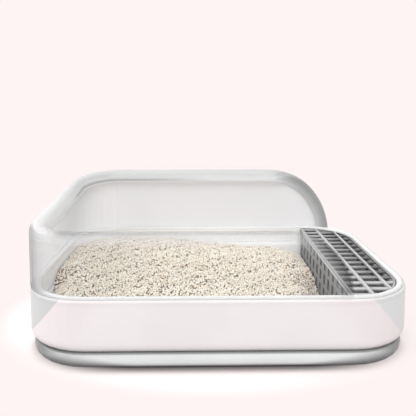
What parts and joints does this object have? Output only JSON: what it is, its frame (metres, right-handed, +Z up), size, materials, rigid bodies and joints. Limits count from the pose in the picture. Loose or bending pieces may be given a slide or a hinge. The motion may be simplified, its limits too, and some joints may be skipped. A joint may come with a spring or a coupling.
{
  "type": "litter box",
  "caption": "Open-top litter box: double-walled white tray on a plinth, translucent splash surround with a rolled lip, lift-off slatted step grid and slotted divider.",
  "frame": {"origin": "on the floor, under the middle of the tray", "axes": "+X along the tray towards the step grid, +Y towards the high back of the surround, +Z up; the low side faces -Y"},
  "size_m": [0.5202, 0.3702, 0.2095],
  "materials": {
    "white_plastic": "smooth moulded, soft gloss",
    "pan_plastic": "smooth moulded, gloss",
    "plinth_plastic": "smooth moulded, soft gloss",
    "pad_rubber": "matt",
    "litter_pellets": "loose cream pellets",
    "smoke_plastic": "translucent smoke, polished",
    "divider_plastic": "fine satin",
    "grid_plastic": "fine satin"
  },
  "bodies": {
    "tray": {"outer_shell": "white_plastic", "litter_pan": "pan_plastic", "base_plinth": "plinth_plastic", "foot_pad_front_left": "pad_rubber", "foot_pad_front_right": "pad_rubber", "foot_pad_back_left": "pad_rubber", "foot_pad_back_right": "pad_rubber", "litter_bed": "litter_pellets"},
    "surround": {"surround": "smoke_plastic"},
    "divider": {"divider": "divider_plastic"},
    "grid": {"step_grid": "grid_plastic"}
  },
  "joints": [
    {"name": "surround_lift", "type": "slide", "parent": "tray", "child": "surround", "axis": [0, 0, 1], "range_m": [0, 0.12]},
    {"name": "divider_lift", "type": "slide", "parent": "tray", "child": "divider", "axis": [0, 0, 1], "range_m": [0, 0.065]},
    {"name": "grid_lift", "type": "slide", "parent": "divider", "child": "grid", "axis": [0, 0, 1], "range_m": [0, 0.08]}
  ]
}
